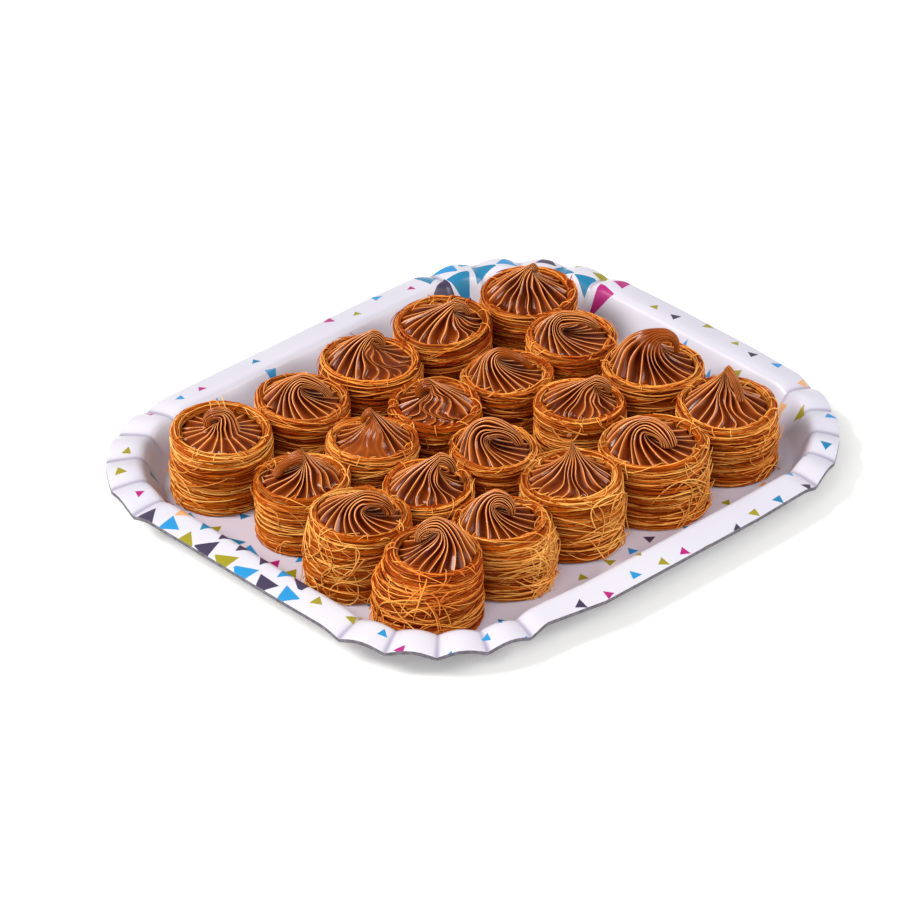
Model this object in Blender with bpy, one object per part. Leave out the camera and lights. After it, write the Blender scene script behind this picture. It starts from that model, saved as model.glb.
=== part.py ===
"""Chocolate asawer kunafa in its card tray.

Twenty nests of baked kataifi strands stand in five rows of four in a white card tray with fluted
corners. Each nest is a wound wall with a shallow well, and the well holds a swirl of chocolate
cream piped through a star nozzle. The origin is the middle of the tray's flat underside, X runs
along the tray's long side, Y along its short side, and Z is up.
"""

import math
import random
from collections import namedtuple

import bmesh
import bpy
from mathutils import Matrix, Vector

MM = 0.001
GAP = 0.3 * MM

# Tray: outer size, the fold lines' distance in from the edge, and their heights
TRAY_LENGTH = 350 * MM
TRAY_WIDTH = 300 * MM
TRAY_CORNER_RADIUS = 85 * MM
CARD = 1.4 * MM
CREASE_INSET = 28.5 * MM
CREST_INSET = 17.5 * MM
FLANGE_INSET = 7 * MM
CREST_HEIGHT = 20 * MM
FLANGE_HEIGHT = 19.4 * MM
EDGE_HEIGHT = 18 * MM

# Flutes pressed into each corner, and how far the corner's edge is pulled in from its arc at the
# start, at the end and halfway between, in mm
FLUTES_PER_CORNER = 5
POINTS_PER_FLUTE = 4
VALLEY_DROP = 3.4 * MM
SIDE_EASE = 35 * MM
Corner = namedtuple("Corner", "side_x side_y start end middle")
CORNERS = (
    Corner(1, 1, 1, 1, 0),
    Corner(-1, 1, 0, 0, -2.1),
    Corner(-1, -1, 0.5, 6.5, -2.5),
    Corner(1, -1, 1.5, 1.5, 3),
)

# Grid of nests
ROWS = 5
COLUMNS = 4
PITCH = 52.4 * MM
GRID_SHIFT = (-6.7 * MM, -2.5 * MM)

# Wound wall of a nest
NEST_SIDES = 16
WALL = 5 * MM
RIM_ROUND = 2.2 * MM
WELL_DEPTH = 7 * MM
WINDING_RELIEF = 1.4 * MM
RIM_TILT = 1.2 * MM
RIM_DRAW_IN = 0.3 * MM
RIM_ROUGHNESS = 0.6 * MM
FOOT_PINCH = 1.5 * MM
WINDING_LEVELS = (0.0, 0.15, 0.5, 0.84)
LEVEL_WANDER = 1.0 * MM
SKIRT_LOW = 0.55
WINDING_SEED = 7

# Each nest: offset from its grid point, radius, height, and how far its foot spreads to one side
Nest = namedtuple("Nest", "dx dy radius height skirt toward")
NESTS = (
    Nest(0.0, -2.4, 24.4, 41.0, 9.5, 162),
    Nest(-2.7, -1.2, 26.4, 39.3, 3.5, 165),
    Nest(4.0, -2.4, 25.0, 34.2, 0.0, 0),
    Nest(0.6, 4.5, 27.0, 38.0, 1.0, 180),
    Nest(-3.1, 1.6, 24.8, 35.9, 4.0, -60),
    Nest(-4.2, 2.0, 24.3, 32.7, 0.0, 0),
    Nest(1.7, -1.6, 24.6, 35.5, 0.0, 0),
    Nest(0.7, -0.6, 25.4, 37.0, 0.0, 0),
    Nest(-3.6, 2.8, 26.2, 39.0, 2.0, -70),
    Nest(-8.0, 3.0, 23.7, 33.9, 0.0, 0),
    Nest(-1.2, 2.3, 24.7, 34.4, 0.0, 0),
    Nest(1.1, 3.2, 27.2, 36.7, 0.0, 0),
    Nest(-1.0, -2.3, 28.6, 37.5, 1.5, -70),
    Nest(1.1, 1.4, 24.5, 36.8, 0.0, 0),
    Nest(-4.1, -1.0, 24.6, 33.3, 0.0, 0),
    Nest(2.9, 4.2, 26.7, 37.3, 0.0, 0),
    Nest(2.3, -1.6, 26.7, 37.0, 1.5, -60),
    Nest(2.9, 0.8, 27.8, 36.4, 0.0, 0),
    Nest(-6.9, 0.4, 24.8, 35.7, 0.0, 0),
    Nest(8.8, -2.6, 26.7, 34.4, 0.0, 0),
)

# Star nozzle: ridges and their depth as a share of the section's radius
RIDGES = 10
RIDGE_DEPTH = 0.13
EDGE_DROP = 3.2 * MM
CLIMB_STEPS = 3
NECK_RISE = 2.5 * MM
FOOT_HOLLOW = 0.4
NECK_HOLLOW = 1.2
SHARP_EDGE = math.radians(35)

# Each swirl seen with its fold to the right, in mm and degrees, heights from the well's edge:
# the side it falls to, how far right its top stands, how high, how hollow its back is (1 round,
# 2 straight), the fold's reach and drop, how far round it goes and how straight (1 round,
# 2 straight), how thick it is at the top and the tip, how hollow the front is, the foot's
# narrowing to a neck, the ridges' turn, and the sections in the fold
Swirl = namedtuple(
    "Swirl", "lean top rise back reach drop hang bend lobe tip front neck twist folds"
)
SWIRLS = (
    Swirl(145, -0.5, 22.3, 1.25, 11.5, 11.5, 95, 1.0, 9.0, 4.0, 2.2, 1, 30, 4),
    Swirl(-43, 2.5, 15.8, 1.4, 15.0, 12.5, 86, 1.0, 11.0, 5.0, 3.0, 1, -35, 4),
    Swirl(140, 0.0, 19.5, 1.9, 15.5, 15.0, 82, 1.3, 7.5, 5.0, 2.6, 1, 25, 4),
    Swirl(140, 1.0, 15.8, 0.9, 8.5, 8.0, 105, 1.0, 8.0, 4.5, 1.2, 0.4, 0, 4),
    Swirl(-43, -2.5, 20.0, 1.3, 10.5, 12.0, 98, 1.0, 10.0, 4.5, 2.4, 1, -30, 4),
    Swirl(-43, 6.0, 21.6, 1.7, 9.0, 10.0, 92, 1.0, 7.0, 4.0, 3.2, 1, -25, 4),
    Swirl(140, 0.5, 21.5, 1.9, 5.5, 7.5, 92, 1.0, 4.8, 3.0, 2.6, 1, 8, 4),
    Swirl(-50, 0.5, 17.3, 1.4, 16.0, 13.0, 80, 1.2, 8.5, 4.5, 3.0, 1, -28, 4),
    Swirl(140, 0.0, 28.5, 2.8, 3.0, 4.0, 55, 1.0, 2.4, 1.4, 3.2, 1, 0, 4),
    Swirl(-60, -1.0, 19.5, 1.0, 17.0, 14.0, 80, 1.0, 13.0, 5.0, 2.8, 1, -35, 4),
    Swirl(140, 3.0, 17.8, 1.8, 8.0, 8.5, 100, 1.0, 8.0, 4.5, 1.8, 1, 12, 4),
    Swirl(-43, 1.5, 20.8, 1.5, 7.0, 8.0, 102, 1.0, 6.5, 3.5, 3.2, 1, -15, 4),
    Swirl(-72, -2.0, 16.8, 1.2, 15.5, 13.0, 80, 1.0, 10.0, 8.5, 2.8, 1, -28, 4),
    Swirl(-43, 7.5, 17.6, 1.7, 9.5, 9.0, 94, 1.0, 7.0, 3.5, 2.2, 1, -5, 4),
    Swirl(-43, -4.5, 18.3, 1.2, 18.0, 13.0, 80, 1.2, 6.5, 3.8, 2.6, 1, -40, 4),
    Swirl(-43, 6.0, 16.3, 2.0, 9.5, 9.0, 84, 1.1, 7.5, 3.5, 2.2, 1, -10, 4),
    Swirl(-90, 0.0, 26.0, 2.1, 12.5, 17.0, 84, 1.35, 5.0, 4.5, 3.4, 1, 8, 4),
    Swirl(-43, 4.0, 24.5, 1.0, 10.0, 10.5, 115, 1.0, 7.5, 2.4, 3.2, 1, -10, 5),
    Swirl(-43, -5.0, 17.0, 1.2, 20.0, 11.0, 78, 1.0, 11.0, 5.0, 3.0, 1, -45, 4),
    Swirl(-43, 2.0, 20.8, 1.6, 3.5, 6.0, 75, 1.0, 5.0, 2.5, 2.0, 1, -5, 4),
)


def make_material(name, colour, roughness):
    """One Principled finish."""
    material = bpy.data.materials.new(name)
    material.use_nodes = True
    shader = material.node_tree.nodes["Principled BSDF"]
    shader.inputs["Base Color"].default_value = (*colour, 1)
    shader.inputs["Roughness"].default_value = roughness
    shader.inputs["Metallic"].default_value = 0
    return material


def loft(name, rings, finish, collection, parent):
    """Skin closed rings of equal length, bottom ring first, into one capped solid."""
    skin = bmesh.new()
    loops = [[skin.verts.new(point) for point in ring] for ring in rings]
    for lower, upper in zip(loops, loops[1:]):
        for i in range(len(lower)):
            j = (i + 1) % len(lower)
            skin.faces.new((lower[i], lower[j], upper[j], upper[i]))
    skin.faces.new(list(reversed(loops[0])))
    skin.faces.new(loops[-1])
    mesh = bpy.data.meshes.new(name)
    skin.to_mesh(mesh)
    skin.free()
    mesh.shade_smooth()
    mesh.set_sharp_from_angle(angle=SHARP_EDGE)
    mesh.materials.append(finish)
    piece = bpy.data.objects.new(name, mesh)
    piece.parent = parent
    collection.objects.link(piece)
    return piece


def smooth(value):
    """Ease from 0 to 1."""
    value = min(max(value, 0), 1)
    return value * value * (3 - 2 * value)


def tray_outline(inset, height, flute, flange):
    """One ring round the tray: flutes by the share flute, bent corners by the share flange."""
    centre_x = TRAY_LENGTH / 2 - TRAY_CORNER_RADIUS
    centre_y = TRAY_WIDTH / 2 - TRAY_CORNER_RADIUS
    steps = FLUTES_PER_CORNER * POINTS_PER_FLUTE
    ring = []
    for quarter, corner in enumerate(CORNERS):
        arc = []
        for step in range(steps + 1):
            share = step / steps
            valley = 1 - abs(math.cos(math.pi * FLUTES_PER_CORNER * share))
            pull = corner.start * (1 - share) + corner.end * share
            pull += corner.middle * math.sin(math.pi * share)
            radius = TRAY_CORNER_RADIUS - inset - flange * pull * MM
            angle = math.radians(90) * (quarter + share)
            arc.append(Vector((
                corner.side_x * centre_x + radius * math.cos(angle),
                corner.side_y * centre_y + radius * math.sin(angle),
                height - flute * VALLEY_DROP * valley,
            )))
        turned = Matrix.Rotation(math.radians(90) * quarter, 3, "Z")
        before = turned @ Vector((flange * corner.start * MM, -SIDE_EASE, 0))
        after = turned @ Vector((-SIDE_EASE, flange * corner.end * MM, 0))
        ring += [arc[0] + before, *arc, arc[-1] + after]
    return ring


def make_tray(finish, collection, parent):
    """Flat floor, steep wall, rounded crest and a nearly level flange, in card of one thickness."""
    run = CREASE_INSET - CREST_INSET
    rise = CREST_HEIGHT - CARD
    shift = CARD * math.tan(math.atan2(rise, run) / 2)
    folds = (
        (CREASE_INSET, CARD, 0.0, 0.0),
        (CREST_INSET, CREST_HEIGHT, 0.8, 0.35),
        (FLANGE_INSET, FLANGE_HEIGHT, 0.9, 0.7),
        (0.0, EDGE_HEIGHT, 1.0, 1.0),
    )
    under = []
    for inset, height, flute, flange in folds:
        nudge = shift if inset >= CREST_INSET else 0
        under.append(tray_outline(inset - nudge, height - CARD, flute, flange))
    upper = [tray_outline(*fold) for fold in reversed(folds)]
    return loft("tray", under + upper, finish, collection, parent)


def nest_places():
    """Centre and radius of every nest, each radius eased until the nests clear each other."""
    places = []
    for index, nest in enumerate(NESTS):
        row, column = divmod(index, COLUMNS)
        x = PITCH * (row - (ROWS - 1) / 2) + GRID_SHIFT[0] + nest.dx * MM
        y = PITCH * (column - (COLUMNS - 1) / 2) + GRID_SHIFT[1] + nest.dy * MM
        places.append([Vector((x, y, CARD + GAP)), nest.radius * MM])
    for first in range(len(places)):
        for second in range(first):
            apart = (places[first][0] - places[second][0]).length
            excess = places[first][1] + places[second][1] + GAP - apart
            if excess > 0:
                places[first][1] -= excess / 2
                places[second][1] -= excess / 2
    return places


def nest_rings(nest, centre, radius, draw):
    """Wound wall up to the rim, over it and down into the well."""
    height = nest.height * MM
    tilt_side = draw.uniform(0, 2 * math.pi)
    toward = math.radians(nest.toward)
    rings = []
    for order, level in enumerate(WINDING_LEVELS):
        relief = FOOT_PINCH if order == 0 else WINDING_RELIEF * (order % 2)
        ring = []
        for side in range(NEST_SIDES):
            angle = 2 * math.pi * side / NEST_SIDES
            spread = max(0, math.cos(angle - toward)) ** 2 * (1 - smooth((level - SKIRT_LOW) / (1 - SKIRT_LOW)))
            out = radius - relief - draw.uniform(0, WINDING_RELIEF) + nest.skirt * MM * spread
            lift = draw.uniform(-1, 1) * LEVEL_WANDER if order > 0 else 0
            ring.append(centre + Vector((
                out * math.cos(angle), out * math.sin(angle), level * height + lift,
            )))
        rings.append(ring)
    profile = (
        (RIM_DRAW_IN, -RIM_ROUND),
        (WALL / 2, 0),
        (WALL, -RIM_ROUND),
        (WALL, -WELL_DEPTH),
    )
    for order, (inset, drop) in enumerate(profile):
        level_share = 0 if order == len(profile) - 1 else 1
        ring = []
        for side in range(NEST_SIDES):
            angle = 2 * math.pi * side / NEST_SIDES
            tilt = RIM_TILT * math.cos(angle - tilt_side) * level_share
            rough = draw.uniform(0, RIM_ROUGHNESS) if inset < WALL else 0
            out = radius - inset - rough
            ring.append(centre + Vector((
                out * math.cos(angle), out * math.sin(angle), height + drop + tilt - rough,
            )))
        rings.append(ring)
    return rings


def raised(value, power):
    """A power that keeps the value's sign."""
    return math.copysign(abs(value) ** power, value)


def hollowed(turn, hollow):
    """How far out and how high a climb stands: round at the foot, the more hollow above."""
    lift = 1 + FOOT_HOLLOW * (hollow - 1)
    draw_in = hollow + NECK_HOLLOW * (hollow - lift)
    return abs(math.cos(turn)) ** draw_in, math.sin(turn) ** lift


def swirl_profile(swirl, radius):
    """Points on the back and the front of a swirl, in pairs from its foot to its tip."""
    top, rise = swirl.top * MM, swirl.rise * MM
    reach, drop = swirl.reach * MM, swirl.drop * MM
    lobe, tip = swirl.lobe * MM, swirl.tip * MM
    pairs = [(Vector((-radius, 0)), Vector((radius, 0)))]
    neck, start = radius, 0
    if swirl.neck < 1:
        neck, start = radius * swirl.neck, NECK_RISE
        pairs.append((Vector((-neck, start)), Vector((neck, start))))
    for step in range(1, CLIMB_STEPS + 1):
        turn = math.radians(90) * step / CLIMB_STEPS
        across, along = hollowed(turn, swirl.back)
        back = Vector((top - (neck + top) * across, start + (rise - start) * along))
        across, along = hollowed(turn, swirl.front)
        front = Vector((top + (neck - top) * across, start + (rise - lobe - start) * along))
        pairs.append((back, front))
    centre = Vector((top, rise - drop))
    for step in range(1, swirl.folds + 1):
        turn = math.radians(swirl.hang) * step / swirl.folds
        spoke = Vector((
            reach * raised(math.sin(turn), swirl.bend), drop * raised(math.cos(turn), swirl.bend),
        ))
        thick = lobe + (tip - lobe) * step / swirl.folds
        pairs.append((centre + spoke, centre + spoke - spoke.normalized() * thick))
    return pairs


def swirl_rings(swirl, centre, radius, foot):
    """Star sections from the well's floor to the tip of the swirl."""
    lean = math.radians(swirl.lean)
    side = Vector((math.cos(lean), math.sin(lean), 0))
    hinge = Vector((-math.sin(lean), math.cos(lean), 0))
    pairs = swirl_profile(swirl, radius)

    def section(back, front, turn):
        middle = (back + front) / 2
        spread = (front - back) / 2
        ring = []
        for point in range(2 * RIDGES):
            angle = math.pi * point / RIDGES + turn
            reach = 1 - RIDGE_DEPTH * (point % 2)
            across = middle + spread * reach * math.cos(angle)
            along = hinge * spread.length * reach * math.sin(angle)
            ring.append(centre + side * across.x + Vector((0, 0, across.y)) + along)
        return ring

    base = Vector((radius, 0)), Vector((0, -foot))
    rings = [section(base[1] - base[0], base[1] + base[0], 0)]
    for order, (back, front) in enumerate(pairs):
        rings.append(section(back, front, math.radians(swirl.twist) * smooth(min(order / CLIMB_STEPS, 1))))
    return rings


def main():
    for piece in list(bpy.data.objects):
        bpy.data.objects.remove(piece, do_unlink=True)
    collection = bpy.data.collections.new("chocolate_asawer_kunafa")
    bpy.context.scene.collection.children.link(collection)
    parent = bpy.data.objects.new("batch", None)
    collection.objects.link(parent)

    card = make_material("coated_card", (0.84, 0.83, 0.88), 0.45)
    pastry = make_material("baked_kataifi", (0.56, 0.24, 0.05), 0.5)
    cream = make_material("chocolate_cream", (0.27, 0.11, 0.04), 0.32)

    make_tray(card, collection, parent)
    draw = random.Random(WINDING_SEED)
    for number, (centre, radius) in enumerate(nest_places(), start=1):
        nest = NESTS[number - 1]
        rings = nest_rings(nest, centre, radius, draw)
        loft(f"nest_{number:02d}", rings, pastry, collection, parent)
        well = (radius - WALL) * math.cos(math.pi / NEST_SIDES) - GAP
        edge = centre + Vector((0, 0, nest.height * MM - EDGE_DROP))
        foot = WELL_DEPTH - EDGE_DROP - GAP
        rings = swirl_rings(SWIRLS[number - 1], edge, well, foot)
        loft(f"cream_{number:02d}", rings, cream, collection, parent)


main()
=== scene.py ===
# %% [markdown]
# # Twenty chocolate kunafa nests on a card tray
#
# This lesson dresses a measured model. The solids are already there: a card tray, twenty wound
# nests and twenty piped creams. Each cell below makes one piece or one finish of the real thing,
# in metres, in the frame of those solids, and prints what it made.

import math
import random
from collections import namedtuple

import bpy
import numpy as np
from mathutils import Matrix, Vector


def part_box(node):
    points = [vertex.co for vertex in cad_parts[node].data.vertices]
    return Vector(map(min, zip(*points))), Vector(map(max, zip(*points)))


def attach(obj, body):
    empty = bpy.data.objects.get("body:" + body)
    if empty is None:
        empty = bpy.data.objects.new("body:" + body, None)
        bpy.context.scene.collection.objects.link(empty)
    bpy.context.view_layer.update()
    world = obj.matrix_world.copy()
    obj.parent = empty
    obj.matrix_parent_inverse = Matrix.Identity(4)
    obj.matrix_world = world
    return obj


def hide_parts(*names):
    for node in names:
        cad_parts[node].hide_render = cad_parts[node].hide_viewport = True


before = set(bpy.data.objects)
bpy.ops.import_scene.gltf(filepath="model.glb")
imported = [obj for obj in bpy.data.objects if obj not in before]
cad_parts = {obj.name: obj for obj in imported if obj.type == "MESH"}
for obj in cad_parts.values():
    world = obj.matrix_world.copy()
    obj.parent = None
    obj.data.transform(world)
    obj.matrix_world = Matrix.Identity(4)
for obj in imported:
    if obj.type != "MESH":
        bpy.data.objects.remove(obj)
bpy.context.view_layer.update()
MM = 0.001
FULL_TURN = 2 * math.pi
QUARTER_TURN = math.pi / 2


# %% [markdown]
# ## Arithmetic on sockets
#
# Node trees grow fast, and wiring Math nodes by hand hides what they work out. So one small class
# wraps an output socket and overloads the arithmetic signs: `1 - mask * 2` then adds the nodes
# and their wires by itself. It serves shader and geometry trees, because both use the same Math
# node. Any other node comes from the method `node`, and the usual ones have short names.


# %% The Link class
def maths(operation, turned=False):
    """A method that puts a Link, and a value if there is one, through a Math node."""

    def method(link, *value):
        wires = (*value, link) if turned else (link, *value)
        return link.node("ShaderNodeMath", {"operation": operation}, dict(enumerate(wires)))

    return method


class Link:
    """An output socket that takes part in Python expressions."""

    def __init__(self, tree, socket):
        self.tree = tree
        self.socket = socket

    def node(self, kind, settings=None, inputs=None, output=0):
        """Any node of this tree: its settings first, then the values or wires of its inputs."""
        made = self.tree.nodes.new(kind)
        for name, value in (settings or {}).items():
            if name == "stops":
                lay_stops(made.color_ramp, value)
            else:
                setattr(made, name, value)
        wire(made.inputs, inputs or {})
        return Link(self.tree, find_socket(made.outputs, output))

    def other(self, key):
        """Another output of the node that this one comes from."""
        return Link(self.tree, find_socket(self.socket.node.outputs, key))

    def vector(self, operation, value):
        """This vector and a value, through one vector operation."""
        return self.node("ShaderNodeVectorMath", {"operation": operation}, {0: self, 1: value})

    __add__, __radd__ = maths("ADD"), maths("ADD", turned=True)
    __sub__, __rsub__ = maths("SUBTRACT"), maths("SUBTRACT", turned=True)
    __mul__, __truediv__, __pow__ = maths("MULTIPLY"), maths("DIVIDE"), maths("POWER")
    __abs__, fraction, sin, cos = maths("ABSOLUTE"), maths("FRACT"), maths("SINE"), maths("COSINE")
    at_least, at_most, under = maths("MAXIMUM"), maths("MINIMUM"), maths("LESS_THAN")

    def step(self, low, high):
        """Smooth step: 0 below low, 1 above high."""
        wires = {"Value": self, "From Min": low, "From Max": high}
        return self.node("ShaderNodeMapRange", {"interpolation_type": "SMOOTHSTEP"}, wires)

    def colour(self, first, second):
        """Mixes two colours, with this value as the share of the second."""
        wires = {"Factor_Float": self, "A_Color": first, "B_Color": second}
        return self.node("ShaderNodeMix", {"data_type": "RGBA"}, wires, "Result_Color")

    def axis(self, name):
        """The X, Y or Z of this vector."""
        return self.node("ShaderNodeSeparateXYZ", inputs={"Vector": self}, output=name)

    def spot(self, x, y, z):
        """A vector of three values in this tree."""
        return self.node("ShaderNodeCombineXYZ", inputs={"X": x, "Y": y, "Z": z})

    def noise(self, scale, detail):
        """A cloudy noise of about 0 to 1, read at this place."""
        wires = {"Vector": self, "Scale": scale, "Detail": detail}
        return self.node("ShaderNodeTexNoise", inputs=wires)

    def bump(self, strength, distance):
        """The surface's normal, tilted by this height."""
        wires = {"Strength": strength, "Distance": distance, "Height": self}
        return self.node("ShaderNodeBump", inputs=wires, output="Normal")

    def stored(self, name):
        """An attribute of the mesh, read in a shader."""
        return self.node("ShaderNodeAttribute", {"attribute_name": name}, output="Fac")

    def then(self, kind, inputs=None, settings=None):
        """This geometry, sent through one geometry node."""
        return self.node(f"GeometryNode{kind}", settings, {"Geometry": self, **(inputs or {})})

    def store(self, name, value):
        """This geometry, with a value stored at each of its points."""
        wires, kind = {"Name": name, "Value": value}, {"data_type": "FLOAT", "domain": "POINT"}
        return self.then("StoreNamedAttribute", wires, kind)


def find_socket(sockets, key):
    """A socket by its place, its identifier or its shown name."""
    if isinstance(key, int):
        return sockets[key]
    for socket in sockets:
        if socket.identifier == key:
            return socket
    return next(socket for socket in sockets if socket.name == key and socket.enabled)


def wire(sockets, values):
    """Wires each Link to its socket, and sets each plain value on its own."""
    for key, value in values.items():
        socket = find_socket(sockets, key)
        if isinstance(value, Link):
            value.tree.links.new(value.socket, socket)
        else:
            socket.default_value = value


def lay_stops(ramp, stops):
    """Fills a colour ramp with (place, colour) stops."""
    while len(ramp.elements) > 1:
        ramp.elements.remove(ramp.elements[-1])
    ramp.elements[0].position, ramp.elements[0].color = stops[0]
    for place, colour in stops[1:]:
        ramp.elements.new(place).color = colour


def paint(*rgb):
    """An sRGB colour of 0 to 255 a channel, as the linear colour that shaders use."""
    shares = [value / 255 for value in rgb]
    return tuple(s / 12.92 if s <= 0.04045 else ((s + 0.055) / 1.055) ** 2.4 for s in shares) + (1,)


print("white card in linear light:", [round(v, 3) for v in paint(236, 233, 244)])

# %% [markdown]
# ## Camera
#
# The tray's four corners fix the view: the camera stands far off with a long lens, looks down
# at 33 degrees and sees one corner of the tray nearest. Its back direction is worked out from
# azimuth and elevation, which are easier to reason about than a matrix.

# %% Camera
ELEVATION = math.radians(32.62)
AZIMUTH = math.radians(-43.53)
DISTANCE = 3.2
AIM = Vector((4.0, 27.5, 0)) * MM
FOCAL_MM, SENSOR_MM = 240.1, 36
FAR_END = 50

scene = bpy.context.scene
level = math.cos(ELEVATION)
back = Vector((math.sin(AZIMUTH) * level, -math.cos(AZIMUTH) * level, math.sin(ELEVATION)))
lens = bpy.data.cameras.new("studio_camera")
lens.lens = FOCAL_MM
lens.sensor_width = SENSOR_MM
lens.clip_end = FAR_END
camera = bpy.data.objects.new("studio_camera", lens)
scene.collection.objects.link(camera)
camera.location = AIM + back * DISTANCE
camera.rotation_euler = back.to_track_quat("Z", "Y").to_euler()
scene.camera = camera
print("camera at", [round(v, 3) for v in camera.location])

# %% [markdown]
# ## Light and floor
#
# The main light is a large soft lamp on the left. A weaker one on the right and a still weaker
# one in front keep the shadows warm and open, and a white world fills what is left. The floor is
# pale and glows a little, so that its soft shadow is all that it shows.

# %% Lamps, world and floor
LAMP_DISTANCE = 5
LAMPS = (
    # name, azimuth from +X towards +Y, elevation, width, power, tint
    ("left_lamp", 148, 44, 2.0, 235, (1, 0.97, 0.94)),
    ("right_lamp", -56, 37, 2.4, 124, (1, 0.98, 0.97)),
    ("front_lamp", -150, 38, 3, 76, (1, 0.98, 0.97)),
)
WORLD_STRENGTH = 0.4
FLOOR_GLOW = 0.14
FLOOR_HALF = 4

for name, azimuth, elevation, size, power, tint in LAMPS:
    turn, lift = math.radians(azimuth), math.radians(elevation)
    away = Vector((
        math.cos(turn) * math.cos(lift), math.sin(turn) * math.cos(lift), math.sin(lift),
    ))
    data = bpy.data.lights.new(name, "AREA")
    data.shape = "DISK"
    data.size = size
    data.energy = power
    data.color = tint
    lamp = bpy.data.objects.new(name, data)
    lamp.location = away * LAMP_DISTANCE
    lamp.rotation_euler = away.to_track_quat("Z", "Y").to_euler()
    scene.collection.objects.link(lamp)

scene.view_settings.view_transform = "Standard"
world = bpy.data.worlds.new("white_studio")
world.use_nodes = True
backdrop = world.node_tree.nodes["Background"].inputs
wire(backdrop, {"Color": (1, 1, 1, 1), "Strength": WORLD_STRENGTH})
scene.world = world


def new_finish(name):
    """A material, its Principled shader's inputs, and the place on the piece itself as a Link."""
    material = bpy.data.materials.new(name)
    material.use_nodes = True
    tree = material.node_tree
    shader = tree.nodes["Principled BSDF"]
    place = Link(tree, shader.outputs[0]).node("ShaderNodeTexCoord", output="Object")
    return material, shader.inputs, place


floor_finish, floor_inputs = new_finish("pale_floor")[:2]
wire(floor_inputs, {
    "Base Color": (0.96, 0.97, 0.96, 1), "Roughness": 0.7,
    "Emission Color": (1, 1, 1, 1), "Emission Strength": FLOOR_GLOW,
})
floor_mesh = bpy.data.meshes.new("floor")
square = ((-1, -1), (1, -1), (1, 1), (-1, 1))
floor_corners = [(x * FLOOR_HALF, y * FLOOR_HALF, 0) for x, y in square]
floor_mesh.from_pydata(floor_corners, [], [(0, 1, 2, 3)])
floor_mesh.materials.append(floor_finish)
floor = bpy.data.objects.new("floor", floor_mesh)
scene.collection.objects.link(floor)
print("lamps:", len(LAMPS), "floor:", 2 * FLOOR_HALF, "m wide")

# %% [markdown]
# ## The tray's shape
#
# The real tray is pressed from one flat card. Its floor is flat, its wall is steep, its crest is
# round and its flange runs out nearly level. At the corners the card has too much length, so it
# gathers into five flutes. The outline below is the solid's own rule, with finer steps: an arc a
# corner, its height dipped to a sharp valley between flutes, and its edge pulled in where this
# tray has been bent. Rings of that outline are skinned from the middle of the floor to the edge
# and back underneath.

# %% Tray outline
TRAY_LENGTH, TRAY_WIDTH, TRAY_CORNER = 350 * MM, 300 * MM, 85 * MM
CARD = 1.4 * MM
FLUTES, FLUTE_STEPS, SIDE_STEPS = 5, 12, 16
ARC_STEPS = FLUTES * FLUTE_STEPS
VALLEY_DROP = 3.4 * MM
SIDE_EASE = 35 * MM
CORNERS = (
    # side of X, side of Y, then the pull in mm where the arc begins, where it ends and between
    (1, 1, 1, 1, 0), (-1, 1, 0, 0, -2.1), (-1, -1, 0.5, 6.5, -2.5), (1, -1, 1.5, 1.5, 3),
)


def valley(step):
    """How near a step of an arc is to a valley's bottom, from 0 to 1."""
    return 1 - abs(math.cos(math.pi * FLUTES * step / ARC_STEPS))


def tray_outline(inset, height, flute, flange):
    """One ring round the tray: flutes by the share flute, bent corners by the share flange."""
    centre = (TRAY_LENGTH / 2 - TRAY_CORNER, TRAY_WIDTH / 2 - TRAY_CORNER)
    ring = []
    for quarter, (side_x, side_y, begin, end, middle) in enumerate(CORNERS):
        arc = []
        for step in range(ARC_STEPS + 1):
            share = step / ARC_STEPS
            pull = begin * (1 - share) + end * share + middle * math.sin(math.pi * share)
            radius = TRAY_CORNER - inset - flange * pull * MM
            angle = QUARTER_TURN * (quarter + share)
            arc.append(Vector((
                side_x * centre[0] + radius * math.cos(angle),
                side_y * centre[1] + radius * math.sin(angle),
                height - flute * VALLEY_DROP * valley(step),
            )))
        turned = Matrix.Rotation(QUARTER_TURN * quarter, 3, "Z")
        before = arc[0] + turned @ Vector((flange * begin * MM, -SIDE_EASE, 0))
        after = arc[-1] + turned @ Vector((-SIDE_EASE, flange * end * MM, 0))
        ring.append([before, *arc, after])
    joined = []
    for quarter, arc in enumerate(ring):
        ahead = ring[(quarter + 1) % 4][0]
        joined += arc
        joined += [arc[-1].lerp(ahead, step / SIDE_STEPS) for step in range(1, SIDE_STEPS)]
    return joined


def ring_valleys():
    """The valleys along a whole ring; the straight sides have none."""
    arc = [valley(step) for step in range(ARC_STEPS + 1)]
    return np.array(([0] + arc + [0] * SIDE_STEPS) * 4)


print("points in a tray ring:", len(tray_outline(0, 0, 0, 0)), "and", len(ring_valleys()))

# %% [markdown]
# The card's section is a short list of points: distance in from the edge, height, and how much
# of the flutes and of the bent corners each point takes. Smooth shading rounds the crest between
# them. The underside is the same list, pushed in by the card's thickness, and at the very edge
# it hangs a little lower, so that the dark cut shows as a line.

# %% Tray mesh
SECTION = (
    (60, 1.4, 0, 0), (31.5, 1.4, 0, 0), (29.2, 1.6, 0, 0), (27.7, 2.9, 0.03, 0),
    (24.5, 8.2, 0.2, 0.1), (21.3, 13.6, 0.45, 0.2), (18.9, 17.6, 0.7, 0.3),
    (17.1, 19.7, 0.8, 0.36), (14.5, 20.3, 0.83, 0.45), (11, 20, 0.86, 0.57),
    (7, 19.4, 0.9, 0.7), (3.4, 18.7, 0.95, 0.85), (0.7, 18.1, 1, 1), (0, 17.7, 1, 1),
)
LIP = 1  # nearer the edge than this, in mm, the underside hangs straight down
EDGE_HANG = 1.5


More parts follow.
